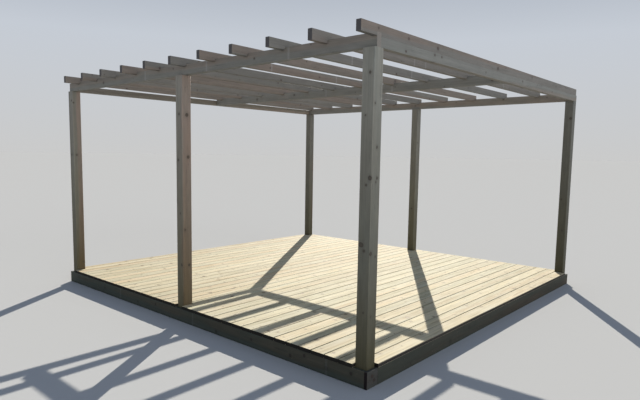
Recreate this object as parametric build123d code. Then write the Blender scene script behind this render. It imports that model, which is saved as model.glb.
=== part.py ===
from build123d import *
import math
import os

# Garden pergola on a low timber deck, millimetres, +Z up.
# Origin: on the ground, at the centre of the plan outline (line of the
# rafter tails at the front, deck edges at the other three sides).
# -Y is the front, where the rafter tails stand out, +X is the right side.

# ---------------------------------------------------------------- deck
DECK_W = 4307.0          # left edge to right edge
DECK_D = 4200.0          # front edge to back edge, one board long
BOARD_T = 28.0           # deck board thickness
FASCIA_H = 120.0         # fascia and joist depth, ground to underside of boards
FASCIA_T = 24.0
LIP = 3.0                # boards stand this far over the fascia
DECK_TOP = FASCIA_H + BOARD_T
CORNER_BLOCK = 122.0     # short fascia piece at the near end of the right side
BLOCK_JOINT = 2.0
NOTCH_PLAY = 3.0         # boards are cut this clear of each post

# ---------------------------------------------------------------- posts
POST = 95.0
POST_IN = LIP + FASCIA_T  # post faces meet the back of the fascia
POST_TOP = DECK_TOP + 2061.0
MID_FRONT_X = 2070.0     # front middle post, right face from the right edge
MID_BACK_X = 2118.0      # back middle post, right face from the right edge

# ---------------------------------------------------------------- underframe
JOIST_T = 47.0
JOIST_BAYS = 10

# ---------------------------------------------------------------- roof
BEAM_T = 47.0
BEAM_H = 90.0
SIDE_BEAM_H = 68.0
FRONT_BEAM_Y = 46.0      # front face, from the deck's front edge
MID_BEAM_Y = 2127.0
BACK_BEAM_Y = 4102.0
RAFTER_T = 38.0
RAFTER_H = 70.0
RAFTER_SEAT = 22.0       # depth of the notch over each cross beam
RAFTER_RISE = {2: 3.0, 3: 1.5, 5: 3.0}  # rafters whose top is a little higher
RAFTER_DEEPER = {2: 6.0}                # and one that is a deeper timber
RAFTER_COUNT = 11
TAIL_Y = -113.0          # tips of the tails, in front of the deck's edge
TAIL_Y_FIRST = -123.0    # the first rafter's tail is a little longer
PITCH_FRONT = 400.0      # rafter spacing at the tails
PITCH_BACK = 415.0       # rafter spacing at the back beam

# plan position of the deck's near right corner
RX = DECK_W / 2.0
FY = -(DECK_D + TAIL_Y) / 2.0


def bar(x0, x1, y0, y1, z0, z1):
    """Box between two corners: x from the right edge (leftwards negative),
    y from the deck's front edge, z from the ground."""
    return Pos(RX + (x0 + x1) / 2, FY + (y0 + y1) / 2, (z0 + z1) / 2) * Box(
        x1 - x0, y1 - y0, z1 - z0
    )


parts = {}

# ---------------------------------------------------------------- posts
post_at = {
    "post_front_right": (-POST_IN - POST, POST_IN),
    "post_front_middle": (-MID_FRONT_X - POST, POST_IN),
    "post_front_left": (-DECK_W + POST_IN, POST_IN),
    "post_back_right": (-POST_IN - POST, DECK_D - POST_IN - POST),
    "post_back_middle": (-MID_BACK_X - POST, DECK_D - POST_IN - POST),
    "post_back_left": (-DECK_W + POST_IN, DECK_D - POST_IN - POST),
}
for name, (x, y) in post_at.items():
    parts[name] = bar(x, x + POST, y, y + POST, 0, POST_TOP)

# ---------------------------------------------------------------- beams
beam_right_x = -POST_IN
beam_left_x = -DECK_W + POST_IN
z0 = POST_TOP
beam_front = bar(
    beam_left_x, beam_right_x, FRONT_BEAM_Y, FRONT_BEAM_Y + BEAM_T, z0, z0 + BEAM_H
)
side_y0 = FRONT_BEAM_Y + BEAM_T
side_y1 = DECK_D - POST_IN
beam_right = bar(
    beam_right_x - BEAM_T, beam_right_x, side_y0, side_y1, z0, z0 + SIDE_BEAM_H
)
beam_left = bar(
    beam_left_x, beam_left_x + BEAM_T, side_y0, side_y1, z0, z0 + SIDE_BEAM_H
)
beam_middle = bar(
    beam_left_x + BEAM_T,
    beam_right_x - BEAM_T,
    MID_BEAM_Y,
    MID_BEAM_Y + BEAM_T,
    z0,
    z0 + BEAM_H,
)
beam_back = bar(
    beam_left_x + BEAM_T,
    beam_right_x - BEAM_T,
    BACK_BEAM_Y,
    BACK_BEAM_Y + BEAM_T,
    z0,
    z0 + BEAM_H,
)
parts["beam_front"] = beam_front
parts["beam_right"] = beam_right
parts["beam_left"] = beam_left
parts["beam_middle"] = beam_middle
parts["beam_back"] = beam_back

# ---------------------------------------------------------------- rafters
# Each rafter is a straight bar notched over the three cross beams.
# The first lies on the right side beam, in line with its outer face,
# and the others open out a little towards the back.
rz0 = z0 + BEAM_H - RAFTER_SEAT
back_end = BACK_BEAM_Y + BEAM_T
for k in range(RAFTER_COUNT):
    tail = TAIL_Y_FIRST if k == 0 else TAIL_Y
    xf = beam_right_x - PITCH_FRONT * k
    xb = beam_right_x - PITCH_BACK * k
    # right face passes through (xf, TAIL_Y) and (xb, BACK_BEAM_Y)
    slope = (xb - xf) / (BACK_BEAM_Y - TAIL_Y)
    xe = xf + slope * (back_end - TAIL_Y)
    plan = Polyline(
        (RX + xf, FY + tail),
        (RX + xe, FY + back_end),
        (RX + xe - RAFTER_T, FY + back_end),
        (RX + xf - RAFTER_T, FY + tail),
        close=True,
    )
    rise = RAFTER_RISE.get(k + 1, 0.0)
    deeper = RAFTER_DEEPER.get(k + 1, 0.0)
    rafter = Pos(0, 0, rz0 + rise - deeper) * extrude(
        make_face(plan), amount=RAFTER_H + deeper
    )
    for beam in (beam_front, beam_middle, beam_back):
        rafter = rafter - beam
    parts["rafter_%02d" % (k + 1)] = rafter

# ---------------------------------------------------------------- fascia
fx1 = -LIP
fx0 = -DECK_W + LIP
fy0 = LIP
fy1 = DECK_D - LIP
parts["fascia_corner_block"] = bar(
    fx1 - FASCIA_T, fx1, fy0, fy0 + CORNER_BLOCK, 0, FASCIA_H
)
parts["fascia_right"] = bar(
    fx1 - FASCIA_T, fx1, fy0 + CORNER_BLOCK + BLOCK_JOINT, fy1, 0, FASCIA_H
)
parts["fascia_front"] = bar(fx0, fx1 - FASCIA_T, fy0, fy0 + FASCIA_T, 0, FASCIA_H)
parts["fascia_left"] = bar(fx0, fx0 + FASCIA_T, fy0 + FASCIA_T, fy1, 0, FASCIA_H)
parts["fascia_back"] = bar(
    fx0 + FASCIA_T, fx1 - FASCIA_T, fy1 - FASCIA_T, fy1, 0, FASCIA_H
)

# ---------------------------------------------------------------- underframe
# Edge joists stand between the posts, against the back of the fascia.
ex1 = -POST_IN
ex0 = -DECK_W + POST_IN
ey0 = POST_IN
ey1 = DECK_D - POST_IN
parts["edge_joist_right"] = bar(
    ex1 - JOIST_T, ex1, ey0 + POST, ey1 - POST, 0, FASCIA_H
)
parts["edge_joist_left"] = bar(ex0, ex0 + JOIST_T, ey0 + POST, ey1 - POST, 0, FASCIA_H)
for name, mid, ya in (
    ("edge_joists_front", -MID_FRONT_X - POST, ey0),
    ("edge_joists_back", -MID_BACK_X - POST, ey1 - JOIST_T),
):
    parts[name] = Compound(
        children=[
            bar(ex0 + POST, mid, ya, ya + JOIST_T, 0, FASCIA_H),
            bar(mid + POST, ex1 - POST, ya, ya + JOIST_T, 0, FASCIA_H),
        ]
    )
# Inner joists run from side to side under the boards.
step = (ey1 - ey0 - JOIST_T) / JOIST_BAYS
joists = []
for i in range(1, JOIST_BAYS):
    ya = ey0 + step * i
    joists.append(bar(ex0 + JOIST_T, ex1 - JOIST_T, ya, ya + JOIST_T, 0, FASCIA_H))
parts["joists"] = Compound(children=joists)

# ---------------------------------------------------------------- deck
# The boards lie side by side, front to back. At the corners the outer board
# stops short of the post, which leaves the corner open down to the fascia.
# At the middle posts the boards are notched from their ends.
deck = bar(-DECK_W, 0, 0, DECK_D, FASCIA_H, DECK_TOP)
for name, (x, y) in post_at.items():
    nx0, nx1 = x - NOTCH_PLAY, x + POST + NOTCH_PLAY
    ny0, ny1 = y - NOTCH_PLAY, y + POST + NOTCH_PLAY
    if name.endswith("right"):
        nx1 = 0
    if name.endswith("left"):
        nx0 = -DECK_W
    if "front" in name:
        ny0 = 0
    else:
        ny1 = DECK_D
    deck = deck - bar(nx0, nx1, ny0, ny1, FASCIA_H, DECK_TOP)
parts["deck_boards"] = deck

os.makedirs("parts", exist_ok=True)
for name, shape in parts.items():
    export_step(shape, os.path.join("parts", name + ".step"))
print(len(parts), "nodes")
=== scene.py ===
import math
import random

import bmesh
import bpy
import numpy as np
from mathutils import Matrix, Vector


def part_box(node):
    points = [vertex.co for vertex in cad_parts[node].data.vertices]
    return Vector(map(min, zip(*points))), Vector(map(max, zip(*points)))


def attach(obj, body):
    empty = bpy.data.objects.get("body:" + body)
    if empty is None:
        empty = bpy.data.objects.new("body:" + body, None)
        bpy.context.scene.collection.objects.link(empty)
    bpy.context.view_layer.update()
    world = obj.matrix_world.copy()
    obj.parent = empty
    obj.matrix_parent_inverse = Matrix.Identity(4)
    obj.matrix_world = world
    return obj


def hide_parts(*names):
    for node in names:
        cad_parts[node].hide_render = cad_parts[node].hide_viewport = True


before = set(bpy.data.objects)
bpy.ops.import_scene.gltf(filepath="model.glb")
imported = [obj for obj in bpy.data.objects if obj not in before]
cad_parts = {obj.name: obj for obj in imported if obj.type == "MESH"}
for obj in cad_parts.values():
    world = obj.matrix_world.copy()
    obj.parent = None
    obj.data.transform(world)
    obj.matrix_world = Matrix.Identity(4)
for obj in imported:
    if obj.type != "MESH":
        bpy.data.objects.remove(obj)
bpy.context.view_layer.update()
MM = 0.001

# ------------------------------------------------------------------ camera
# The photograph's viewing point, direction and centre, found from the
# timber's straight edges. Metres, in the part's own frame.
EYE = Vector((4.1130, -4.8251, 1.53343))
YAW, PITCH, ROLL = 0.730714, -0.105327, 0.0150406
FOCAL_PX = 537.605                       # for a frame 640 wide
CENTRE_DX, CENTRE_DY = -11.161, 11.447   # picture centre offset, pixels

fwd = Vector((-math.sin(YAW) * math.cos(PITCH), math.cos(YAW) * math.cos(PITCH), math.sin(PITCH)))
level = Vector((math.cos(YAW), math.sin(YAW), 0))
upward = level.cross(fwd)
right = level * math.cos(ROLL) + upward * math.sin(ROLL)
up = -level * math.sin(ROLL) + upward * math.cos(ROLL)
cam_data = bpy.data.cameras.new("camera")
cam_data.sensor_fit = "HORIZONTAL"
cam_data.sensor_width = 36.0
cam_data.lens = FOCAL_PX * 36.0 / 640.0
cam_data.shift_x = -CENTRE_DX / 640.0
cam_data.shift_y = CENTRE_DY / 640.0
cam_data.clip_end = 3000.0
camera = bpy.data.objects.new("camera", cam_data)
camera.matrix_world = Matrix((
    (right.x, up.x, -fwd.x, EYE.x),
    (right.y, up.y, -fwd.y, EYE.y),
    (right.z, up.z, -fwd.z, EYE.z),
    (0, 0, 0, 1),
))
bpy.context.scene.collection.objects.link(camera)
bpy.context.scene.camera = camera


# ------------------------------------------------------------------ node graphs
class Graph:
    """Short names for building a shader's nodes."""

    def __init__(self, tree):
        self.t = tree

    def node(self, kind, **props):
        n = self.t.nodes.new(kind)
        for k, v in props.items():
            setattr(n, k, v)
        return n

    def put(self, socket, value):
        if isinstance(value, bpy.types.NodeSocket):
            self.t.links.new(value, socket)
        elif value is not None:
            socket.default_value = value

    def math(self, op, a, b=None, c=None, clamp=False):
        n = self.node("ShaderNodeMath", operation=op, use_clamp=clamp)
        for i, v in enumerate((a, b, c)):
            if v is not None:
                self.put(n.inputs[i], v)
        return n.outputs[0]

    def vec(self, op, a, b=None, scale=None):
        n = self.node("ShaderNodeVectorMath", operation=op)
        self.put(n.inputs[0], a)
        if b is not None:
            self.put(n.inputs[1], b)
        if scale is not None:
            self.put(n.inputs["Scale"], scale)
        return n.outputs["Value"] if op in ("LENGTH", "DOT_PRODUCT", "DISTANCE") else n.outputs["Vector"]

    def combine(self, x, y, z):
        n = self.node("ShaderNodeCombineXYZ")
        for i, v in enumerate((x, y, z)):
            self.put(n.inputs[i], v)
        return n.outputs[0]

    def split(self, v):
        n = self.node("ShaderNodeSeparateXYZ")
        self.put(n.inputs[0], v)
        return n.outputs

    def attr(self, name, out="Vector"):
        n = self.node("ShaderNodeAttribute", attribute_type="GEOMETRY", attribute_name=name)
        return n.outputs[out]

    def noise(self, v, scale=1.0, detail=2.0, rough=0.5, distortion=0.0, out="Fac"):
        n = self.node("ShaderNodeTexNoise", noise_dimensions="3D")
        self.put(n.inputs["Vector"], v)
        self.put(n.inputs["Scale"], scale)
        self.put(n.inputs["Detail"], detail)
        self.put(n.inputs["Roughness"], rough)
        self.put(n.inputs["Distortion"], distortion)
        return n.outputs[out]

    def span(self, v, a, b, c=0.0, d=1.0, smooth=False):
        n = self.node("ShaderNodeMapRange", interpolation_type="SMOOTHSTEP" if smooth else "LINEAR", clamp=True)
        for i, x in enumerate((v, a, b, c, d)):
            self.put(n.inputs[i], x)
        return n.outputs[0]

    def mix(self, fac, a, b, blend="MIX"):
        n = self.node("ShaderNodeMix", data_type="RGBA", blend_type=blend, clamp_factor=True)
        self.put(n.inputs[0], fac)
        for i, v in ((6, a), (7, b)):
            if isinstance(v, (tuple, list)):
                v = (*v[:3], 1.0)
            self.put(n.inputs[i], v)
        return n.outputs[2]

    def ramp(self, v, stops):
        n = self.node("ShaderNodeValToRGB")
        self.put(n.inputs[0], v)
        el = n.color_ramp.elements
        while len(el) > 1:
            el.remove(el[-1])
        for i, (p, g) in enumerate(stops):
            e = el[0] if i == 0 else el.new(p)
            e.position = p
            e.color = (g, g, g, 1)
        return n.outputs[0]


def wood(name, sap, heart, late, knot, end, end_pale=(0.24, 0.19, 0.14), side=None, arris=1.25, tone=0.10,
         green=(0.16, 0.19, 0.09), green_by=0.25, rough=0.72, ring=0.0042, ring_by=0.5, bump=0.6,
         bleach=None, bleach_by=0.0, heart_r=0.055, streak=0.15, mark_by=0.5, painted_haze=None):
    """Planed softwood. grain is a point in the log, in metres: along the
    grain, and across it from the pith. piece holds each timber's own tone,
    hue and seed. kpos_a and kpar_a are a knot's centre, and its radius, breadth
    and darkness; kpos_b and kpar_b are the next one's. faces holds 1 on sawn ends, on eased edges and on
    narrow sides; extra holds the laths' pale marks, how pale an end is, and 1 on
    undersides, which get painted shade. The last argument is a tint at the foot of
    the timber and at its top, the top's lighter, bluer tint being painted haze of light, and the two heights."""
    m = bpy.data.materials.new(name)
    m.use_nodes = True
    t = m.node_tree
    t.nodes.clear()
    g = Graph(t)
    P = g.attr("grain")
    piece = g.split(g.attr("piece"))
    endf, edgef, sidef = g.split(g.attr("faces"))
    markf, palef, painted_under_shade = g.split(g.attr("extra"))
    seed = g.combine(g.math("MULTIPLY", piece[2], 17.0), g.math("MULTIPLY", piece[2], 31.0), g.math("MULTIPLY", piece[2], 7.0))
    _, v, w = g.split(P)

    # slow wander of the rings along the log
    slow = g.noise(g.vec("ADD", g.vec("MULTIPLY", P, (0.9, 5.0, 5.0)), seed), 1.0, 2.0, 0.55, out="Color")
    wander = g.vec("MULTIPLY", g.vec("SUBTRACT", slow, (0.5, 0.5, 0.5)), (0.0, 0.026, 0.026))
    Q = g.vec("ADD", P, wander)
    _, qv, qw = g.split(Q)
    r = g.math("SQRT", g.math("ADD", g.math("MULTIPLY", qv, qv), g.math("MULTIPLY", qw, qw)))

    # the two knots nearest to this stretch of the face
    found = []
    for k in ("a", "b"):
        rad, wide, dark = g.split(g.attr("kpar_" + k))
        d = g.split(g.vec("SUBTRACT", P, g.attr("kpos_" + k)))
        across = g.math("MULTIPLY", g.math("ADD", g.math("MULTIPLY", d[1], d[1]), g.math("MULTIPLY", d[2], d[2])), wide)
        along = g.math("MULTIPLY", g.math("MULTIPLY", d[0], d[0]), 0.74)
        dist = g.math("DIVIDE", g.math("SQRT", g.math("ADD", along, across)), g.math("MAXIMUM", rad, 0.0005))
        dist = g.math("ADD", dist, g.math("MULTIPLY", g.math("LESS_THAN", rad, 0.0005), 60.0))
        found.append((dist, rad, dark))
    other = g.math("LESS_THAN", found[1][0], found[0][0])
    krad = g.span(other, 0.0, 1.0, found[0][1], found[1][1])
    kdark = g.span(other, 0.0, 1.0, found[0][2], found[1][2])
    wob = g.math("SUBTRACT", g.noise(g.vec("ADD", g.vec("MULTIPLY", P, (75.0, 75.0, 75.0)), seed), 1.0, 2.0), 0.5)
    dk = g.math("ADD", g.math("MINIMUM", found[0][0], found[1][0]), g.math("MULTIPLY", wob, 0.55))
    kmask = g.span(dk, 1.12, 0.82, 0.0, 1.0, True)
    krim = g.math("MULTIPLY", g.span(dk, 0.66, 0.98, 0.0, 1.0, True), g.span(dk, 1.22, 1.0, 0.0, 1.0, True))
    halo = g.math("EXPONENT", g.math("MULTIPLY", g.math("MULTIPLY", dk, dk), -0.30))

    # growth rings, pushed round each knot
    push = g.math("MULTIPLY", g.math("DIVIDE", krad, ring), 1.15)
    ridx = g.math("ADD", g.math("DIVIDE", r, ring), g.math("MULTIPLY", halo, push))
    frac = g.math("FRACT", ridx)
    rings = g.ramp(frac, ((0.0, 0.06), (0.45, 0.14), (0.80, 0.86), (0.93, 1.0), (1.0, 0.06)))
    yr = g.node("ShaderNodeTexWhiteNoise", noise_dimensions="2D")
    g.put(yr.inputs["Vector"], g.combine(g.math("FLOOR", ridx), piece[2], 0.0))
    rings = g.math("MULTIPLY", rings, g.span(yr.outputs["Value"], 0.0, 1.0, 0.30, 1.15))
    kr = g.math("FRACT", g.math("ADD", g.math("MULTIPLY", dk, 3.4), g.math("MULTIPLY", wob, 1.5)))
    rings = g.math("ADD", g.math("MULTIPLY", rings, g.math("SUBTRACT", 1.0, kmask)), g.math("MULTIPLY", g.math("MULTIPLY", kr, 0.6), kmask))

    # fibres and streaks that follow the grain
    S = g.vec("ADD", Q, seed)
    fine = g.noise(g.vec("MULTIPLY", S, (9.0, 520.0, 520.0)), 1.0, 3.0, 0.6)
    broad = g.noise(g.vec("MULTIPLY", S, (0.9, 46.0, 46.0)), 1.0, 3.0, 0.6)
    patch = g.noise(g.vec("MULTIPLY", S, (1.7, 9.0, 9.0)), 1.0, 3.0, 0.6)
    blot = g.noise(g.vec("MULTIPLY", S, (7.0, 26.0, 26.0)), 1.0, 4.0, 0.62)
    pores = g.noise(g.vec("MULTIPLY", S, (420.0, 900.0, 900.0)), 1.0, 1.0, 0.5)
    # drying cracks: long hair lines
    crack = g.noise(g.vec("ADD", g.vec("MULTIPLY", Q, (1.6, 85.0, 85.0)), seed), 1.0, 1.0, 0.4)
    crack = g.math("SUBTRACT", 1.0, g.span(g.math("ABSOLUTE", g.math("SUBTRACT", crack, 0.5)), 0.0, 0.006))
    gate = g.span(g.noise(g.vec("ADD", g.vec("MULTIPLY", Q, (1.1, 14.0, 14.0)), seed), 1.0, 0.0), 0.60, 0.66)
    crack = g.math("MULTIPLY", crack, gate)

    # sapwood takes the treatment's green, heartwood stays browner
    hr = g.span(g.math("ADD", r, g.math("MULTIPLY", g.math("SUBTRACT", patch, 0.5), 0.03)), heart_r - 0.006, heart_r + 0.010, 1.0, 0.0, True)
    base = g.mix(hr, sap, heart)
    base = g.mix(g.math("MULTIPLY", rings, ring_by), base, g.mix(hr, late, tuple(0.85 * c for c in late)))
    base = g.mix(g.math("MULTIPLY", g.span(patch, 0.42, 0.72), green_by), base, green)
    # the wood's own tone: broad streaks, fine fibres, blots and each piece's random tone
    grain_tone = g.math("MULTIPLY", g.span(broad, 0.25, 0.75, 1.0 - streak, 1.0 + streak), g.span(fine, 0.2, 0.8, 0.92, 1.08))
    grain_tone = g.math("MULTIPLY", grain_tone, g.span(blot, 0.25, 0.75, 0.90, 1.10))
    grain_tone = g.math("MULTIPLY", grain_tone, g.span(piece[0], 0.0, 1.0, 1.0 - tone, 1.0 + tone))
    base = g.mix(1.0, base, g.combine(grain_tone, grain_tone, grain_tone), "MULTIPLY")
    warm = g.mix(piece[1], (0.955, 1.0, 0.985), (1.06, 0.99, 0.94))
    base = g.mix(1.0, base, warm, "MULTIPLY")
    if bleach:
        base = g.mix(g.math("MULTIPLY", g.span(g.noise(g.vec("MULTIPLY", S, (2.5, 20.0, 20.0)), 1.0, 3.0), 0.42, 0.75), bleach_by), base, bleach)
    # painted haze: a tint that darkens the timber towards its foot and makes it lighter and bluer towards its top
    if painted_haze:
        low, high, z0, z1 = painted_haze
        z = g.split(g.node("ShaderNodeTexCoord").outputs["Object"])[2]
        z = g.math("ADD", g.span(z, z0, z1), g.math("MULTIPLY", g.math("SUBTRACT", patch, 0.5), 0.35), clamp=True)
        base = g.mix(1.0, base, g.vec("ADD", low, g.vec("SCALE", tuple(b - a for a, b in zip(low, high)), scale=z)), "MULTIPLY")
    base = g.mix(g.math("MULTIPLY", halo, 0.42), base, tuple(0.62 * a + 0.30 * b for a, b in zip(late, knot)))
    kcol = g.mix(g.math("MULTIPLY", kr, 0.5), knot, tuple(1.6 * c for c in knot))
    base = g.mix(g.math("MULTIPLY", kmask, g.span(kdark, 0.0, 1.0, 0.45, 0.95)), base, kcol)
    base = g.mix(g.math("MULTIPLY", krim, g.span(kdark, 0.0, 1.0, 0.15, 0.80)), base, tuple(0.40 * c for c in knot))
    base = g.mix(g.math("MULTIPLY", crack, 0.75), base, tuple(0.25 * c for c in late))
    base = g.mix(g.math("MULTIPLY", markf, g.span(broad, 0.3, 0.6, 0.65 * mark_by, mark_by)), base, tuple(min(1.0, 1.45 * c + 0.03) for c in sap))
    # painted shade: the narrow sides take the dark side colour, standing in for the shade in the gaps between the deck
    # boards and along their outer edge
    if side:
        sc = g.mix(g.math("MULTIPLY", rings, 0.4), side, tuple(0.6 * c for c in side))
        scs = g.span(broad, 0.25, 0.75, 0.85, 1.15)
        base = g.mix(sidef, base, g.mix(1.0, sc, g.combine(scs, scs, scs), "MULTIPLY"))
    # eased edges: arris above 1 is a painted highlight; the deck's arris below 1 is dirt together with painted shade
    # along the gaps
    ec = g.math("MULTIPLY", edgef, g.span(patch, 0.35, 0.65, 0.35, 0.9))
    base = g.mix(ec, base, g.mix(1.0, base, (arris, arris, arris), "MULTIPLY"))
    # painted shade: undersides are multiplied darker, standing in for the shade under the timber
    base = g.mix(painted_under_shade, base, g.mix(1.0, base, (0.66, 0.68, 0.68), "MULTIPLY"))
    # sawn ends: rings in full, darker, with open pores
    ecol = g.mix(palef, end, end_pale)
    ecol = g.mix(g.math("MULTIPLY", rings, 0.60), ecol, g.mix(1.0, ecol, (0.42, 0.40, 0.38), "MULTIPLY"))
    ecol = g.mix(g.math("MULTIPLY", g.span(pores, 0.52, 0.7), 0.35), ecol, g.mix(1.0, ecol, (0.4, 0.4, 0.4), "MULTIPLY"))
    saw = g.math("FRACT", g.math("MULTIPLY", g.math("ADD", v, g.math("MULTIPLY", w, 0.35)), 420.0))
    ecol = g.mix(g.math("MULTIPLY", saw, 0.14), ecol, g.mix(1.0, ecol, (1.5, 1.5, 1.5), "MULTIPLY"))
    base = g.mix(endf, base, ecol)

    rgh = g.math("ADD", rough, g.math("MULTIPLY", g.math("SUBTRACT", fine, 0.5), 0.22))
    rgh = g.math("ADD", rgh, g.math("MULTIPLY", endf, 0.14))
    rgh = g.math("SUBTRACT", rgh, g.math("MULTIPLY", kmask, 0.12), clamp=True)
    h = g.math("ADD", g.math("MULTIPLY", rings, 0.40), g.math("MULTIPLY", fine, 0.45))
    h = g.math("ADD", h, g.math("MULTIPLY", kmask, 0.55))
    h = g.math("SUBTRACT", h, g.math("MULTIPLY", crack, 1.6))
    h = g.math("ADD", h, g.math("MULTIPLY", g.math("MULTIPLY", g.math("ADD", saw, pores), 0.7), endf))
    bn = g.node("ShaderNodeBump")
    g.put(bn.inputs["Strength"], bump)
    g.put(bn.inputs["Distance"], 0.0007)
    g.put(bn.inputs["Height"], h)
    s = g.node("ShaderNodeBsdfPrincipled")
    g.put(s.inputs["Base Color"], base)
    g.put(s.inputs["Roughness"], rgh)
    s.inputs["IOR"].default_value = 1.45
    s.inputs["Specular IOR Level"].default_value = 0.35
    g.put(s.inputs["Normal"], bn.outputs[0])
    o = g.node("ShaderNodeOutputMaterial")
    t.links.new(s.outputs[0], o.inputs[0])
    return m


# deck: the dark side colour is painted shade; the dark end colour is the darker end grain together with painted shade
M_DECK = wood("deck_softwood", sap=(0.575, 0.522, 0.355), heart=(0.580, 0.480, 0.308), late=(0.350, 0.280, 0.165),
              knot=(0.165, 0.115, 0.068), end=(0.020, 0.018, 0.014), end_pale=(0.10, 0.085, 0.055), side=(0.036, 0.030, 0.026),
              arris=0.46, tone=0.085, green=(0.440, 0.422, 0.272), green_by=0.30, rough=0.79, ring=0.0048, ring_by=0.62,
              bleach=(0.690, 0.655, 0.525), bleach_by=0.45, streak=0.20)
POST_LOOK = dict(sap=(0.157, 0.150, 0.115), heart=(0.198, 0.156, 0.117), late=(0.096, 0.088, 0.067),
                 knot=(0.068, 0.051, 0.038), end=(0.060, 0.052, 0.040), tone=0.30, green=(0.110, 0.116, 0.090),
                 green_by=0.42, rough=0.68, ring_by=0.38, streak=0.11)
# the posts carry painted haze up their height; the near post's copy has a darker foot, painted shade, and a stronger
# haze
M_POST = wood("post_softwood", painted_haze=((0.66, 0.61, 0.43), (1.70, 1.70, 1.98), 0.1, 2.2), **POST_LOOK)
M_POST_NEAR = wood("post_softwood_near", painted_haze=((0.49, 0.455, 0.32), (1.82, 1.82, 2.10), 0.1, 2.2), **POST_LOOK)
M_BEAM = wood("beam_softwood", sap=(0.215, 0.210, 0.196), heart=(0.240, 0.208, 0.182), late=(0.152, 0.139, 0.121),
              knot=(0.088, 0.062, 0.050), end=(0.092, 0.082, 0.078), end_pale=(0.310, 0.282, 0.250), arris=1.0, tone=0.20,
              green=(0.171, 0.180, 0.160), green_by=0.38, rough=0.70, ring_by=0.42, streak=0.12)
M_RAFTER = wood("rafter_softwood", sap=(0.217, 0.210, 0.197), heart=(0.241, 0.206, 0.180), late=(0.149, 0.135, 0.117),
                knot=(0.090, 0.062, 0.050), end=(0.112, 0.107, 0.108), arris=1.0, tone=0.13, green=(0.168, 0.176, 0.157),
                green_by=0.30, rough=0.70, ring_by=0.42, streak=0.12)
# painted shade: the front and right fascia and the corner block are given a darker colour that stands in for the shade
# on them
M_FASCIA = wood("fascia_softwood", sap=(0.064, 0.073, 0.061), heart=(0.080, 0.072, 0.053), late=(0.041, 0.044, 0.033),
                knot=(0.028, 0.020, 0.015), end=(0.014, 0.010, 0.008), tone=0.16, green=(0.046, 0.062, 0.050), green_by=0.60,
                rough=0.74, ring_by=0.42, streak=0.13, mark_by=0.35, arris=1.1)
M_FASCIA_SIDE = wood("fascia_softwood_side", sap=(0.062, 0.062, 0.048), heart=(0.074, 0.060, 0.043), late=(0.034, 0.032, 0.024),
                     knot=(0.020, 0.014, 0.011), end=(0.014, 0.010, 0.008), tone=0.10, green=(0.042, 0.053, 0.042), green_by=0.50,
                     rough=0.76, ring_by=0.42, streak=0.13, arris=1.5)
# the two sides that the photograph doesn't show, where the light is stronger, keep the timber's own lighter colour; the
# front and right fascia and the corner block carry painted shade
M_FASCIA_FAR = wood("fascia_softwood_far", sap=(0.104, 0.101, 0.074), heart=(0.124, 0.101, 0.072), late=(0.064, 0.058, 0.042),
                    knot=(0.048, 0.035, 0.024), end=(0.030, 0.024, 0.018), tone=0.16, green=(0.074, 0.084, 0.058), green_by=0.50,
                    rough=0.74, ring_by=0.42, streak=0.13, arris=1.1)
M_BLOCK = wood("corner_block_softwood", sap=(0.066, 0.067, 0.062), heart=(0.071, 0.065, 0.058), late=(0.044, 0.039, 0.033),
               knot=(0.040, 0.021, 0.015), end=(0.013, 0.007, 0.007), tone=0.04, green=(0.050, 0.057, 0.047), green_by=0.30,
               rough=0.74, ring_by=0.45, streak=0.10, arris=1.5)
M_FRAME = wood("underframe_softwood", sap=(0.165, 0.160, 0.108), heart=(0.180, 0.140, 0.094), late=(0.102, 0.090, 0.057),
               knot=(0.068, 0.044, 0.026), end=(0.055, 0.046, 0.030), tone=0.10, green=(0.114, 0.128, 0.080), green_by=0.45,
               rough=0.85, ring_by=0.45, bump=0.9)


def screw_material():
    m = bpy.data.materials.new("coated_screw")
    m.use_nodes = True
    t = m.node_tree
    t.nodes.clear()
    g = Graph(t)
    co = g.node("ShaderNodeTexCoord").outputs["Object"]
    n = g.noise(co, 900.0, 3.0)
    worn = g.noise(co, 160.0, 2.0)
    col = g.mix(g.span(n, 0.35, 0.7), (0.085, 0.078, 0.050), (0.125, 0.112, 0.075))
    col = g.mix(g.span(worn, 0.58, 0.75, 0.0, 0.5), col, (0.22, 0.21, 0.18))
    s = g.node("ShaderNodeBsdfPrincipled")
    g.put(s.inputs["Base Color"], col)
    s.inputs["Metallic"].default_value = 0.35
    g.put(s.inputs["Roughness"], g.span(n, 0.3, 0.7, 0.48, 0.66))
    o = g.node("ShaderNodeOutputMaterial")
    t.links.new(s.outputs[0], o.inputs[0])
    return m


M_SCREW = screw_material()


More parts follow.
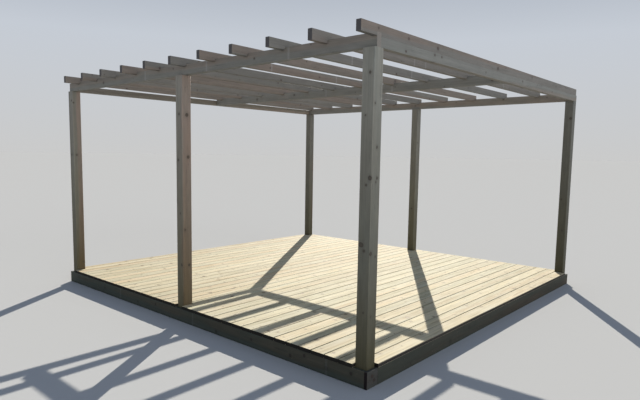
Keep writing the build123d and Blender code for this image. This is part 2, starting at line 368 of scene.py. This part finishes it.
# ------------------------------------------------------------------ timbers
def prism(poly, b0, b1, ease, cuts, ease_min=0.03):
    """A timber in its own frame: s along the grain, a and b across it.
    poly is its outline in s and a, b0 to b1 its other thickness. Long convex
    edges are eased by a small radius, and the timber is cut into lengths."""
    bm = bmesh.new()
    lo = [bm.verts.new((s, a, b0)) for s, a in poly]
    hi = [bm.verts.new((s, a, b1)) for s, a in poly]
    area = sum(poly[i][0] * poly[(i + 1) % len(poly)][1] - poly[(i + 1) % len(poly)][0] * poly[i][1] for i in range(len(poly)))
    if area < 0:
        lo.reverse()
        hi.reverse()
    n = len(lo)
    bm.faces.new(list(reversed(lo)))
    bm.faces.new(hi)
    for i in range(n):
        j = (i + 1) % n
        bm.faces.new((lo[i], lo[j], hi[j], hi[i]))
    bm.normal_update()
    long_edges = []
    for e in bm.edges:
        d = e.verts[1].co - e.verts[0].co
        if abs(d.y) < 1e-7 and abs(d.z) < 1e-7 and abs(d.x) > ease_min and e.is_convex:
            long_edges.append(e)
    if ease > 0:
        bmesh.ops.bevel(bm, geom=long_edges, offset=ease, offset_type="OFFSET", segments=3, profile=0.5,
                        affect="EDGES", clamp_overlap=True)
    for s in cuts:
        bmesh.ops.bisect_plane(bm, geom=list(bm.verts) + list(bm.edges) + list(bm.faces), dist=1e-6,
                               plane_co=(s, 0, 0), plane_no=(1, 0, 0))
    bm.normal_update()
    return bm


SIDES = {"+a": (1, 1.0), "-a": (1, -1.0), "+b": (2, 1.0), "-b": (2, -1.0)}


def random_knots(rng, s0, s1, ha, hb, sides, every=0.48, big=0.012, skip=0.15):
    """Whorls of branches along a timber: a few knots at about one height."""
    out = []
    s = s0 + rng.uniform(0.05, every)
    while s < s1 - 0.03:
        for side in sides:
            if rng.random() < skip:
                continue
            span = hb if side[1] == "a" else ha
            r = big * (0.30 + 0.70 * rng.random() ** 1.6)
            out.append((side, s + rng.uniform(-0.035, 0.035), rng.uniform(-0.85, 0.85) * span, min(r, 0.42 * span + 0.002),
                        rng.choice((1.0, 1.0, 0.8, 0.55)), rng.uniform(0.35, 1.0)))
            if rng.random() < 0.25:
                out.append((side, s + rng.uniform(0.05, 0.16), rng.uniform(-0.8, 0.8) * span, r * 0.4, 1.0, rng.uniform(0.3, 0.9)))
        s += every * rng.uniform(0.65, 1.4)
    return out


def finish_timber(name, bm, origin, S, A, B, material, slot, nodes, seed, pith=None, tilt=None, tone=None, hue=None,
                  marks=(), knots=(), pale=(0.0, 0.0), warp=None):
    """Places the timber in the part's frame and gives it its grain. knots are
    (side, place along, place across, radius, breadth, darkness)."""
    rng = random.Random(seed)
    me = bpy.data.meshes.new(name)
    for f in bm.faces:
        n = f.normal
        f.smooth = not (max(abs(n.x), abs(n.y), abs(n.z)) > 0.985)
    bm.to_mesh(me)
    bm.free()
    nv = len(me.vertices)
    co = np.zeros(nv * 3, np.float32)
    me.vertices.foreach_get("co", co)
    co = co.reshape(-1, 3).astype(float)
    if pith is None:
        th = rng.uniform(0, 2 * math.pi)
        d = rng.uniform(0.02, 0.10)
        pith = (d * math.cos(th), d * math.sin(th))
    if tilt is None:
        tilt = (rng.uniform(-0.012, 0.012), rng.uniform(-0.012, 0.012))
    u0 = rng.uniform(0, 40)
    lo, hi = co.min(0), co.max(0)
    c = (lo + hi) / 2

    def grain(p):
        p = np.atleast_2d(p)
        g = np.empty_like(p)
        g[:, 0] = p[:, 0] + u0
        g[:, 1] = p[:, 1] - c[1] - pith[0] - tilt[0] * (p[:, 0] - c[0])
        g[:, 2] = p[:, 2] - c[2] - pith[1] - tilt[1] * (p[:, 0] - c[0])
        return g

    me.attributes.new("grain", "FLOAT_VECTOR", "POINT").data.foreach_set("vector", grain(co).astype(np.float32).ravel())
    pv = np.tile(np.array([rng.random() if tone is None else tone, rng.random() if hue is None else hue, rng.random()], np.float32), nv)
    me.attributes.new("piece", "FLOAT_VECTOR", "POINT").data.foreach_set("vector", pv)

    places = []
    for side, ks, kc, kr, kw, kd in knots:
        axis, sign = SIDES[side]
        p = np.array([ks, 0.0, 0.0])
        p[axis] = hi[axis] if sign > 0 else lo[axis]
        p[3 - axis] = c[3 - axis] + kc
        places.append((side, p, grain(p)[0], kr, kw, kd))
    nl, npoly = len(me.loops), len(me.polygons)
    R = np.array([list(S), list(A), list(B)], float)     # rows: local axes in the frame
    data = {k: np.zeros((nl, 3), np.float32) for k in ("faces", "extra", "kpos_a", "kpar_a", "kpos_b", "kpar_b")}
    start, total = np.zeros(npoly, np.int32), np.zeros(npoly, np.int32)
    normal, vid = np.zeros(npoly * 3, np.float32), np.zeros(nl, np.int32)
    me.polygons.foreach_get("loop_start", start)
    me.polygons.foreach_get("loop_total", total)
    me.polygons.foreach_get("normal", normal)
    me.loops.foreach_get("vertex_index", vid)
    normal = normal.reshape(-1, 3).astype(float)
    loop_co = co[vid]
    down = (normal @ R)[:, 2] < -0.9
    for i in range(npoly):
        n = normal[i]
        r = slice(start[i], start[i] + total[i])
        v = loop_co[r]
        s0, s1 = v[:, 0].min(), v[:, 0].max()
        side = None
        if abs(n[0]) > 0.9:
            data["faces"][r, 0] = 1.0
            data["extra"][r, 1] = pale[1] if n[0] > 0 else pale[0]
            continue
        if max(abs(n[1]), abs(n[2])) < 0.985:
            data["faces"][r, 1] = 1.0
        elif abs(n[1]) > 0.985:
            side = "+a" if n[1] > 0 else "-a"
            data["faces"][r, 2] = 1.0
        else:
            side = "+b" if n[2] > 0 else "-b"
        # downward faces are marked for the painted shade of undersides
        if down[i]:
            data["extra"][r, 2] = 1.0
        mid = (s0 + s1) / 2
        for m0, m1 in marks:
            if m0 < mid < m1:
                data["extra"][r, 0] = 1.0
        near = []
        for k in places:
            gap = max(0.0, s0 - k[1][0], k[1][0] - s1)
            if gap > 3.6 * k[3] or (side is not None and k[0] != side):
                continue
            if side is None:
                gap = max(gap, float(np.sqrt(((v[:, 1:] - k[1][1:]) ** 2).sum(1)).min()))
            if gap < 3.6 * k[3]:
                near.append((gap, k))
        near.sort(key=lambda q: q[0])
        for tag, (_, k) in zip("ab", near[:2]):
            data["kpos_" + tag][r] = k[2]
            data["kpar_" + tag][r] = (k[3], k[4], k[5])
    for nm, arr in data.items():
        me.attributes.new(nm, "FLOAT_VECTOR", "CORNER").data.foreach_set("vector", arr.ravel())
    if warp:
        warp(co)
    out = co @ R + np.array(list(origin), float)
    me.vertices.foreach_set("co", out.astype(np.float32).ravel())
    if np.linalg.det(R) < 0:
        me.flip_normals()
    me.update()
    me.materials.append(material)
    ob = bpy.data.objects.new(name, me)
    bpy.context.scene.collection.objects.link(ob)
    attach(ob, "root")
    if nodes:
        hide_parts(*nodes)
    return ob


def cuts_for(s0, s1, step, avoid=(), knots=()):
    """Where a timber is cut into lengths: evenly, and between its knots."""
    n = max(1, int(round((s1 - s0) / step)))
    out = [s0 + (s1 - s0) * i / n for i in range(1, n)]
    for side in SIDES:
        at = sorted(k[1] for k in knots if k[0] == side)
        out += [(p + q) / 2 for p, q in zip(at, at[1:]) if q - p > 0.03]
    keep = []
    for s in sorted(out):
        for a, b in avoid:
            if a - 0.006 < s < b + 0.006:
                s = b + 0.012
        if s0 + 0.01 < s < s1 - 0.01 and all(abs(s - k) > 0.008 for k in keep):
            keep.append(s)
    return sorted(keep)


AX = {"x": Vector((1, 0, 0)), "y": Vector((0, 1, 0)), "z": Vector((0, 0, 1))}


def axes(along):
    if along == "x":
        return AX["x"], AX["z"], -AX["y"]
    if along == "y":
        return AX["y"], AX["z"], AX["x"]
    return AX["z"], AX["x"], AX["y"]


def bar(name, lo, hi, along, material, slot, nodes, seed, ease=0.0035, marks=(), knots=(), every=0.48, big=0.012,
        sides=("+a", "-a", "+b", "-b"), **kw):
    """A straight timber that fills a box, its grain along one axis. Its own
    knots are given as (side, x, y, z, radius, breadth, darkness) in the
    part's frame; sides are those that get random ones."""
    lo, hi = Vector(lo), Vector(hi)
    S, A, B = axes(along)
    mid = (lo + hi) / 2
    half = (hi - lo) / 2
    hs, ha, hb = (abs(half.dot(k)) for k in (S, A, B))
    rng = random.Random(seed * 7 + 1)
    own = []
    for side, x, y, z, r, wide, dark in knots:
        d = Vector((x, y, z)) - mid
        own.append((side, d.dot(S), d.dot(B) if side[1] == "a" else d.dot(A), r, wide, dark))
    every_one = own + random_knots(rng, -hs, hs, ha, hb, sides, every, big)
    cuts = cuts_for(-hs, hs, 0.35, knots=every_one)
    ms = []
    for m in marks:                       # places along the axis, in the frame
        c = m - mid.dot(S)
        ms.append((c - 0.010, c + 0.010))
        cuts = [k for k in cuts if abs(k - c) > 0.016] + [c - 0.010, c + 0.010]
    bm = prism([(-hs, -ha), (hs, -ha), (hs, ha), (-hs, ha)], -hb, hb, ease, sorted(cuts))
    return finish_timber(name, bm, mid, S, A, B, material, slot, nodes, seed, marks=ms, knots=every_one, **kw)


def box(node):
    lo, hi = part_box(node)
    return Vector(lo), Vector(hi)


RX, FY, GZ = 2.1535, -2.0435, 0.148      # the deck top's near right corner


def at(side, x, y, z, r, wide=1.0, dark=0.8):
    """A knot placed from the deck top's near right corner, in millimetres."""
    return (side, RX + x * MM, FY + y * MM, GZ + z * MM, r * MM, wide, dark)


# posts: +a is their right side, -b the front
POSTS = {
    "post_front_right": dict(seed=11, pith=(-0.030, 0.044), tone=0.72, hue=0.30, sides=("-a", "+b"), knots=[
        at("-b", -98, 27, 806, 13, 0.55, 0.65), at("-b", -72, 27, 768, 8, 0.8, 0.6),
        at("-b", -40, 27, 1243, 12, 0.8, 0.65), at("-b", -69, 27, 1197, 7, 1.0, 0.6),
        at("-b", -66, 27, 356, 6, 1.0, 0.5), at("-b", -88, 27, 1640, 5, 1.0, 0.5), at("-b", -60, 27, 1905, 8, 1.0, 0.5),
        at("+a", -27, 40, 753, 10, 0.8, 0.9), at("+a", -27, 92, 728, 6, 1.0, 0.6),
        at("+a", -27, 88, 1242, 8, 1.0, 0.7), at("+a", -27, 76, 1216, 6, 1.0, 0.6),
        at("+a", -27, 77, 1438, 8, 1.0, 0.7), at("+a", -27, 60, 330, 6, 1.0, 0.5), at("+a", -27, 45, 1714, 6, 1.0, 0.5)]),
    "post_front_middle": dict(seed=12, pith=(0.046, 0.012), tone=0.72, hue=0.66, sides=("-a", "+b"), knots=[
        at("-b", -2115, 27, 1725, 9, 1.0, 0.8), at("-b", -2132, 27, 1320, 9, 0.8, 0.9), at("-b", -2094, 27, 373, 10, 1.0, 0.9),
        at("-b", -2108, 27, 842, 6, 1.0, 0.5),
        at("+a", -2070, 78, 1718, 12, 0.7, 0.6), at("+a", -2070, 88, 1348, 11, 0.8, 0.7), at("+a", -2070, 90, 367, 10, 1.0, 0.9),
        at("+a", -2070, 50, 694, 8, 1.0, 0.4)]),
    "post_front_left": dict(seed=13, pith=(0.020, 0.040), tone=0.52, hue=0.5),
    # the back right and back left posts take the lowest tones, painted shade
    "post_back_right": dict(seed=14, pith=(-0.040, 0.030), tone=0.0, hue=0.20),
    "post_back_middle": dict(seed=15, pith=(-0.035, 0.035), tone=0.44, hue=0.4),
    "post_back_left": dict(seed=16, pith=(-0.010, 0.045), tone=0.15, hue=0.4),
}
for node, kw in POSTS.items():
    lo, hi = box(node)
    bar(node + "_timber", lo, hi, "z", M_POST_NEAR if node == "post_front_right" else M_POST, "post", [node], ease=0.005, **kw)

# beams: along x, +a is the top and +b the front; along y, +b is the right side
BEAMS = {
    "beam_front": ("x", dict(seed=21, tone=0.78, hue=0.40, pale=(0.3, 1.0), marks=[RX - 0.793, RX - 1.744, RX - 2.686])),
    "beam_back": ("x", dict(seed=22, tone=1.00, hue=0.55, pale=(0.3, 0.6))),
    "beam_middle": ("x", dict(seed=23, tone=1.0, hue=0.50, pale=(0.3, 0.6), marks=[RX - 2.196, RX - 1.280])),
    "beam_right": ("y", dict(seed=24, tone=0.92, hue=0.30, pith=(-0.055, -0.020), sides=("+a", "-a", "-b"), knots=[
        at("+b", -27, 383, 2080, 7, 1.0, 1.0), at("+b", -27, 770, 2112, 8, 1.0, 0.6), at("+b", -27, 874, 2112, 7, 1.0, 0.6),
        at("+b", -27, 1640, 2095, 6, 1.0, 0.5), at("+b", -27, 2460, 2108, 8, 1.0, 0.5), at("+b", -27, 3310, 2090, 7, 1.0, 0.5)])),
    "beam_left": ("y", dict(seed=25, tone=0.95, hue=0.95)),
}
for node, (along, kw) in BEAMS.items():
    lo, hi = box(node)
    bar(node + "_timber", lo, hi, along, M_BEAM, "beam", [node], ease=0.0012 if node == "beam_right" else 0.003, big=0.011, **kw)

# rafters: notched over the cross beams, a little out of parallel
seats = []
for b in ("beam_front", "beam_middle", "beam_back"):
    lo, hi = box(b)
    seats.append((lo.y, hi.y, hi.z))
for k in range(1, 12):
    node = "rafter_%02d" % k
    vs = np.array([v.co[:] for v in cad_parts[node].data.vertices], float)
    y0, y1 = vs[:, 1].min(), vs[:, 1].max()
    z0, z1 = vs[:, 2].min(), vs[:, 2].max()
    f = vs[np.abs(vs[:, 1] - y0) < 1e-4]
    e = vs[np.abs(vs[:, 1] - y1) < 1e-4]
    xf = (f[:, 0].min() + f[:, 0].max()) / 2
    xe = (e[:, 0].min() + e[:, 0].max()) / 2
    hw = (f[:, 0].max() - f[:, 0].min()) / 2
    slope = (xe - xf) / (y1 - y0)
    poly = [(y0, z0)]
    for a, b, top in seats:
        cut = any(abs(v[2] - top) < 1e-4 and a - 1e-3 < v[1] < b + 1e-3 for v in vs)
        if not cut:
            continue
        b = min(b, y1)
        poly += [(a, z0), (a, top)]
        poly += [(b, top)] if b > y1 - 1e-4 else [(b, top), (b, z0)]
    if poly[-1][0] < y1 - 1e-4:
        poly.append((y1, z0))
    poly += [(y1, z1), (y0, z1)]
    mid_y, mid_z = (y0 + y1) / 2, (z0 + z1) / 2
    poly = [(y - mid_y, z - mid_z) for y, z in poly]
    half = (y1 - y0) / 2
    avoid = [(a - mid_y, b - mid_y) for a, b, _ in seats]
    rng = random.Random(300 + k)
    bow = rng.uniform(-0.0035, 0.0035) if k > 1 else 0.0
    kn = random_knots(rng, -half, half, (z1 - z0) / 2, hw, ("+a", "-a", "-b") if k == 1 else tuple(SIDES), 0.5, 0.010)
    marks = []
    if k == 1:
        for y, z, r, dark in ((811, 2165, 10, 0.8), (1879, 2157, 11, 1.0), (414, 2168, 8, 0.6), (2700, 2172, 8, 0.5),
                              (3420, 2160, 7, 0.6), (60, 2175, 6, 0.4)):
            kn.append(("+b", FY + y * MM - mid_y, GZ + z * MM - mid_z, r * MM, 0.8, dark))
    cuts = cuts_for(-half, half, 0.30, avoid, kn)
    for m in {2: (1.16, 1.34, 3.0), 3: (0.85, 1.8), 5: (0.7, 1.65, 2.6)}.get(k, ()):
        c = FY + m - mid_y
        marks.append((c - 0.010, c + 0.010))
        cuts = [q for q in cuts if abs(q - c) > 0.016] + [c - 0.010, c + 0.010]

    def warp(co, bow=bow, half=half):
        co[:, 2] += bow * np.sin(math.pi * (co[:, 0] + half) / (2 * half))

    bm = prism(poly, -hw, hw, 0.0012 if k == 1 else 0.003, sorted(cuts))
    # the ends stay parallel to the front, so the timber leans rather than turns
    S, A, B = Vector((slope, 1, 0)), Vector((0, 0, 1)), Vector((1, 0, 0))
    finish_timber(node + "_timber", bm, Vector(((xf + xe) / 2, mid_y, mid_z)), S, A, B, M_RAFTER, "rafter", [node], 310 + k,
                  tone=0.60 if k == 1 else rng.uniform(0.2, 0.8) * (1.0 if k < 6 else 0.45), hue=0.75 if k == 1 else rng.uniform(0.35, 0.95),
                  pith=(0.05, -0.03) if k == 1 else None, marks=marks, knots=kn, warp=warp)

# fascia
for node, along, mat, kw in (
    ("fascia_front", "x", M_FASCIA, dict(seed=41, tone=0.40, hue=0.3, marks=[RX - 3.160, RX - 1.905, RX - 0.352],
                                         sides=("+a", "-a", "-b"), knots=[
        at("+b", -134, 3, -72, 9, 0.6, 0.9), at("+b", -352, 3, -95, 10, 0.5, 0.8), at("+b", -560, 3, -60, 8, 0.5, 0.7),
        at("+b", -700, 3, -96, 9, 0.5, 0.7), at("+b", -1130, 3, -80, 8, 0.8, 0.8), at("+b", -1574, 3, -118, 9, 0.8, 0.8),
        at("+b", -2500, 3, -70, 9, 0.7, 0.7), at("+b", -2820, 3, -100, 8, 0.8, 0.6), at("+b", -3490, 3, -80, 9, 0.8, 0.7)])),
    ("fascia_right", "y", M_FASCIA_SIDE, dict(seed=42, tone=0.05, hue=0.35)),
    ("fascia_corner_block", "y", M_BLOCK, dict(seed=43, tone=0.60, hue=0.6, sides=("-b",), knots=[
        at("+b", -3, 62, -66, 10, 0.7, 1.0), at("+b", -3, 84, -100, 8, 0.7, 0.9)])),
    ("fascia_left", "y", M_FASCIA_FAR, dict(seed=44, tone=0.5, hue=0.4)),
    ("fascia_back", "x", M_FASCIA_FAR, dict(seed=45, tone=0.5, hue=0.6)),
):
    lo, hi = box(node)
    bar(node + "_timber", lo, hi, along, mat, "fascia", [node], ease=0.003,
        pith=(0.02 * ((kw["seed"] % 3) - 1), 0.06), **kw)

# underframe
for node, seed in (("edge_joist_right", 51), ("edge_joist_left", 52)):
    lo, hi = box(node)
    bar(node + "_timber", lo, hi, "y", M_FRAME, "frame", [node], seed, ease=0.002)


def islands(node):
    """The boxes of a node's separate solids."""
    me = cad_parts[node].data
    vs = [tuple(round(c, 5) for c in v.co) for v in me.vertices]
    parent = {v: v for v in vs}

    def root(v):
        while parent[v] != v:
            parent[v] = parent[parent[v]]
            v = parent[v]
        return v

    for p in me.polygons:
        ids = [vs[i] for i in p.vertices]
        for q in ids[1:]:
            parent[root(ids[0])] = root(q)
    groups = {}
    for v in sorted(set(vs)):
        groups.setdefault(root(v), []).append(v)
    out = []
    for g in groups.values():
        a = np.array(g)
        out.append((Vector(a.min(0)), Vector(a.max(0))))
    return sorted(out, key=lambda b: (round(b[0].x, 4), round(b[0].y, 4)))


joist_lines = []
for node, seed in (("edge_joists_front", 60), ("edge_joists_back", 64), ("joists", 70)):
    parts = islands(node)
    for i, (lo, hi) in enumerate(parts):
        name = "%s_%02d_timber" % (node.rstrip("s"), i + 1)
        bar(name, lo, hi, "x", M_FRAME, "frame", [node], seed + i, ease=0.002)
        joist_lines.append(((lo.y + hi.y) / 2, lo.x, hi.x))

# deck boards, laid front to back and cut round the posts
dlo, dhi = box("deck_boards")
BOARD, GAP, PLAY = 0.120, 0.005, 0.003
post_boxes = {n: box(n) for n in POSTS}
x_right, x_left = dhi.x, dlo.x
boards = []
x1 = x_right
while x1 > x_left + 0.01:
    x0 = max(x1 - BOARD, x_left)
    boards.append((x0, x1))
    x1 = x0 - GAP
screws = []
for i, (x0, x1) in enumerate(boards):
    rng = random.Random(900 + i)
    ya, yb = dlo.y + rng.uniform(0.0, 0.0014), dhi.y - rng.uniform(0.0, 0.0014)
    jx = rng.uniform(-0.0004, 0.0004) if 0 < i < len(boards) - 1 else 0.0
    a0, a1 = x0 + jx, x1 + jx
    front, back = [], []                  # notches at each end: (x0, x1, depth y)
    for n, (plo, phi) in post_boxes.items():
        n0, n1 = plo.x - PLAY, phi.x + PLAY
        if n.endswith("right"):
            n1 = x_right + 0.01
        if n.endswith("left"):
            n0 = x_left - 0.01
        if n1 <= a0 + 0.0005 or n0 >= a1 - 0.0005:
            continue
        if "front" in n:
            front.append((max(n0, a0), min(n1, a1), phi.y + PLAY))
        else:
            back.append((max(n0, a0), min(n1, a1), plo.y - PLAY))
    near = [(a0, ya), (a1, ya)]
    if front:
        n0, n1, d = front[0]
        full_l, full_r = n0 <= a0 + 0.004, n1 >= a1 - 0.004
        if full_l and full_r:
            near = [(a0, d), (a1, d)]
        elif full_l:
            near = [(a0, d), (n1, d), (n1, ya), (a1, ya)]
        elif full_r:
            near = [(a0, ya), (n0, ya), (n0, d), (a1, d)]
        else:
            near = [(a0, ya), (n0, ya), (n0, d), (n1, d), (n1, ya), (a1, ya)]
    far = [(a1, yb), (a0, yb)]
    if back:
        n0, n1, d = back[0]
        full_l, full_r = n0 <= a0 + 0.004, n1 >= a1 - 0.004
        if full_l and full_r:
            far = [(a1, d), (a0, d)]
        elif full_l:
            far = [(a1, yb), (n1, yb), (n1, d), (a0, d)]
        elif full_r:
            far = [(a1, d), (n0, d), (n0, yb), (a0, yb)]
        else:
            far = [(a1, yb), (n1, yb), (n1, d), (n0, d), (n0, yb), (a0, yb)]
    cx, cy, cz = (a0 + a1) / 2, (dlo.y + dhi.y) / 2, (dlo.z + dhi.z) / 2
    poly = [(y - cy, x - cx) for x, y in near + far]
    ht = (dhi.z - dlo.z) / 2
    L2 = (dhi.y - dlo.y) / 2
    wide = x1 - x0
    kn = random_knots(rng, -L2, L2, wide / 2, ht, ("+b", "-b"), 0.34, 0.015, 0.1)
    kn = [(q[0], q[1], q[2], q[3], q[4], q[5] * 0.8) for q in kn]
    bm = prism(poly, -ht, ht, 0.0035, cuts_for(-L2 + 0.14, L2 - 0.14, 0.4, knots=kn))
    bx = rng.uniform(-0.0009, 0.0009) if 0 < i < len(boards) - 1 else 0.0

    def warp(co, bx=bx, L2=L2):           # laid boards are never quite straight, so the gaps vary
        co[:, 1] += bx * np.sin(math.pi * (co[:, 0] + L2) / (2 * L2))

    side = 1 if rng.random() < 0.7 else -1
    finish_timber("deck_board_%02d" % (i + 1), bm, (cx, cy, cz), AX["y"], AX["x"], AX["z"], M_DECK, "deck",
                  ["deck_boards"], 920 + i,
                  pith=(rng.uniform(-0.045, 0.045), side * rng.uniform(0.025, 0.11)),
                  tilt=(rng.uniform(-0.010, 0.010), rng.uniform(-0.010, 0.010)), hue=rng.uniform(0.25, 0.95), knots=kn, warp=warp)
    # two screws at each joist
    for yj, jx0, jx1 in joist_lines:
        for q in ((0.19, 0.81) if wide > 0.1 else (0.5,)):
            xs = a0 + (a1 - a0) * q + rng.uniform(-0.004, 0.004)
            ys = yj + rng.uniform(-0.006, 0.006)
            if not (jx0 + 0.01 < xs < jx1 - 0.01) and abs(yj) > 1.9:
                continue
            hit = any(plo.x - 0.012 < xs < phi.x + 0.012 and plo.y - 0.012 < ys < phi.y + 0.012 for plo, phi in post_boxes.values())
            cut = (front and front[0][0] - 0.01 < xs < front[0][1] + 0.01 and ys < front[0][2] + 0.01) or \
                  (back and back[0][0] - 0.01 < xs < back[0][1] + 0.01 and ys > back[0][2] - 0.01)
            if not hit and not cut:
                screws.append((Vector((xs, ys, dhi.z)), Vector((0, 0, 1)), rng.uniform(0, 3.14)))


# ------------------------------------------------------------------ screws
def screw_set(name, places, r=0.0042, rise=0.0004):
    """Countersunk heads with a six-point recess, joined in one mesh."""
    ring = 12
    pts, faces = [], []

    def circle(rad, z, star=0.0):
        return [((rad - (star if k % 2 else 0.0)) * math.cos(2 * math.pi * k / ring),
                 (rad - (star if k % 2 else 0.0)) * math.sin(2 * math.pi * k / ring), z) for k in range(ring)]

    rings = [circle(r, -0.0012), circle(r, rise * 0.4), circle(r * 0.92, rise), circle(r * 0.46, rise, r * 0.10),
             circle(r * 0.40, -0.0014, r * 0.10)]
    V = [p for rg in rings for p in rg]
    F = []
    for q in range(len(rings) - 1):
        for k in range(ring):
            a, b = q * ring + k, q * ring + (k + 1) % ring
            F.append((a, b, b + ring, a + ring))
    F.append(tuple((len(rings) - 1) * ring + k for k in range(ring)))
    F.append(tuple(reversed(range(ring))))
    V = np.array(V)
    for place, normal, spin in places:
        n = normal.normalized()
        t = n.orthogonal().normalized()
        b = n.cross(t)
        t2 = t * math.cos(spin) + b * math.sin(spin)
        b2 = n.cross(t2)
        R = np.array([list(t2), list(b2), list(n)])
        base = len(pts)
        pts.extend((V @ R + np.array(list(place))).tolist())
        faces.extend([tuple(base + k for k in f) for f in F])
    me = bpy.data.meshes.new(name)
    me.from_pydata(pts, [], faces)
    me.update()
    me.materials.append(M_SCREW)
    ob = bpy.data.objects.new(name, me)
    bpy.context.scene.collection.objects.link(ob)
    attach(ob, "root")
    return ob


screw_set("deck_screws", screws)

tops = []
rng = random.Random(88)
for k in range(1, 12):
    vs = np.array([v.co[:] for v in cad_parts["rafter_%02d" % k].data.vertices], float)
    y0, y1, z1 = vs[:, 1].min(), vs[:, 1].max(), vs[:, 2].max()
    f, e = vs[np.abs(vs[:, 1] - y0) < 1e-4], vs[np.abs(vs[:, 1] - y1) < 1e-4]
    xf, xe = (f[:, 0].min() + f[:, 0].max()) / 2, (e[:, 0].min() + e[:, 0].max()) / 2
    for a, b, _ in seats:
        y = min((a + b) / 2, y1 - 0.02) + rng.uniform(-0.004, 0.004)
        x = xf + (xe - xf) * (y - y0) / (y1 - y0) + rng.uniform(-0.003, 0.003)
        tops.append((Vector((x, y, z1 - 0.0006)), Vector((0, 0, 1)), rng.uniform(0, 3.14)))
screw_set("rafter_screws", tops, r=0.0055)

fs = []
rng = random.Random(77)
frlo, frhi = box("fascia_front")
falo, fahi = box("fascia_right")
fllo, flhi = box("fascia_left")
fblo, fbhi = box("fascia_back")
for yj, jx0, jx1 in joist_lines:
    for z in (0.032, 0.088):
        if abs(yj) < 1.9:
            fs.append((Vector((fahi.x, yj + rng.uniform(-0.006, 0.006), z + rng.uniform(-0.004, 0.004))), Vector((1, 0, 0)), rng.uniform(0, 3)))
            fs.append((Vector((fllo.x, yj + rng.uniform(-0.006, 0.006), z + rng.uniform(-0.004, 0.004))), Vector((-1, 0, 0)), rng.uniform(0, 3)))
n = 8
for k in range(n):
    x = frlo.x + 0.06 + (frhi.x - frlo.x - 0.12) * k / (n - 1)
    for z in (0.032, 0.088):
        fs.append((Vector((x + rng.uniform(-0.01, 0.01), frlo.y, z + rng.uniform(-0.004, 0.004))), Vector((0, -1, 0)), rng.uniform(0, 3)))
        fs.append((Vector((x + rng.uniform(-0.01, 0.01), fbhi.y, z + rng.uniform(-0.004, 0.004))), Vector((0, 1, 0)), rng.uniform(0, 3)))
cblo, cbhi = box("fascia_corner_block")
for z in (0.030, 0.090):
    fs.append((Vector((cbhi.x, cblo.y + 0.065, z)), Vector((1, 0, 0)), 0.4))
screw_set("fascia_screws", fs)

# ------------------------------------------------------------------ stage
floor_mesh = bpy.data.meshes.new("floor")
R = 600.0
floor_mesh.from_pydata([(-R, -R, 0), (R, -R, 0), (R, R, 0), (-R, R, 0)], [], [(0, 1, 2, 3)])
floor = bpy.data.objects.new("floor", floor_mesh)
bpy.context.scene.collection.objects.link(floor)
fm = bpy.data.materials.new("pale_floor")
fm.use_nodes = True
fs_ = fm.node_tree.nodes["Principled BSDF"]
fs_.inputs["Base Color"].default_value = (0.513, 0.516, 0.513, 1)
fs_.inputs["Roughness"].default_value = 0.9
fs_.inputs["Specular IOR Level"].default_value = 0.0
floor_mesh.materials.append(fm)

# A dome, palest where it meets the floor, and two soft lamps: the key comes
# over the far left corner, low, as the daylight does in the photograph.
world = bpy.data.worlds.new("studio")
bpy.context.scene.world = world
world.use_nodes = True
wt = world.node_tree
wg = Graph(wt)
bg = wt.nodes["Background"]
height = wg.split(wg.node("ShaderNodeTexCoord").outputs["Generated"])[2]
dome = wg.node("ShaderNodeValToRGB")
wg.put(dome.inputs[0], wg.math("ABSOLUTE", height))
el = dome.color_ramp.elements
el[0].position, el[0].color = 0.0, (0.590, 0.593, 0.592, 1)
el[1].position, el[1].color = 1.0, (0.080, 0.126, 0.220, 1)
for place, colour in ((0.20, (0.560, 0.600, 0.660, 1)), (0.46, (0.205, 0.256, 0.345, 1))):
    e = el.new(place)
    e.color = colour
wt.links.new(dome.outputs[0], bg.inputs[0])
bg.inputs[1].default_value = 1.0


def soft_lamp(name, direction, angle, strength, colour):
    ld = bpy.data.lights.new(name, "SUN")
    ld.angle = math.radians(angle)
    ld.energy = strength
    ld.color = colour
    ob = bpy.data.objects.new(name, ld)
    ob.rotation_euler = Vector(direction).to_track_quat("Z", "Y").to_euler()
    ob.location = Vector(direction).normalized() * 8.0
    bpy.context.scene.collection.objects.link(ob)
    return ob


soft_lamp("key", (-2.328, 3.445, 2.200), 0.3, 6.0, (1.0, 0.94, 0.835))
soft_lamp("fill", (5.0, -0.3, 1.6), 45.0, 0.80, (0.93, 0.96, 1.0))

view = bpy.context.scene.view_settings
view.view_transform = "Standard"
view.look = "None"
view.exposure = 0.0
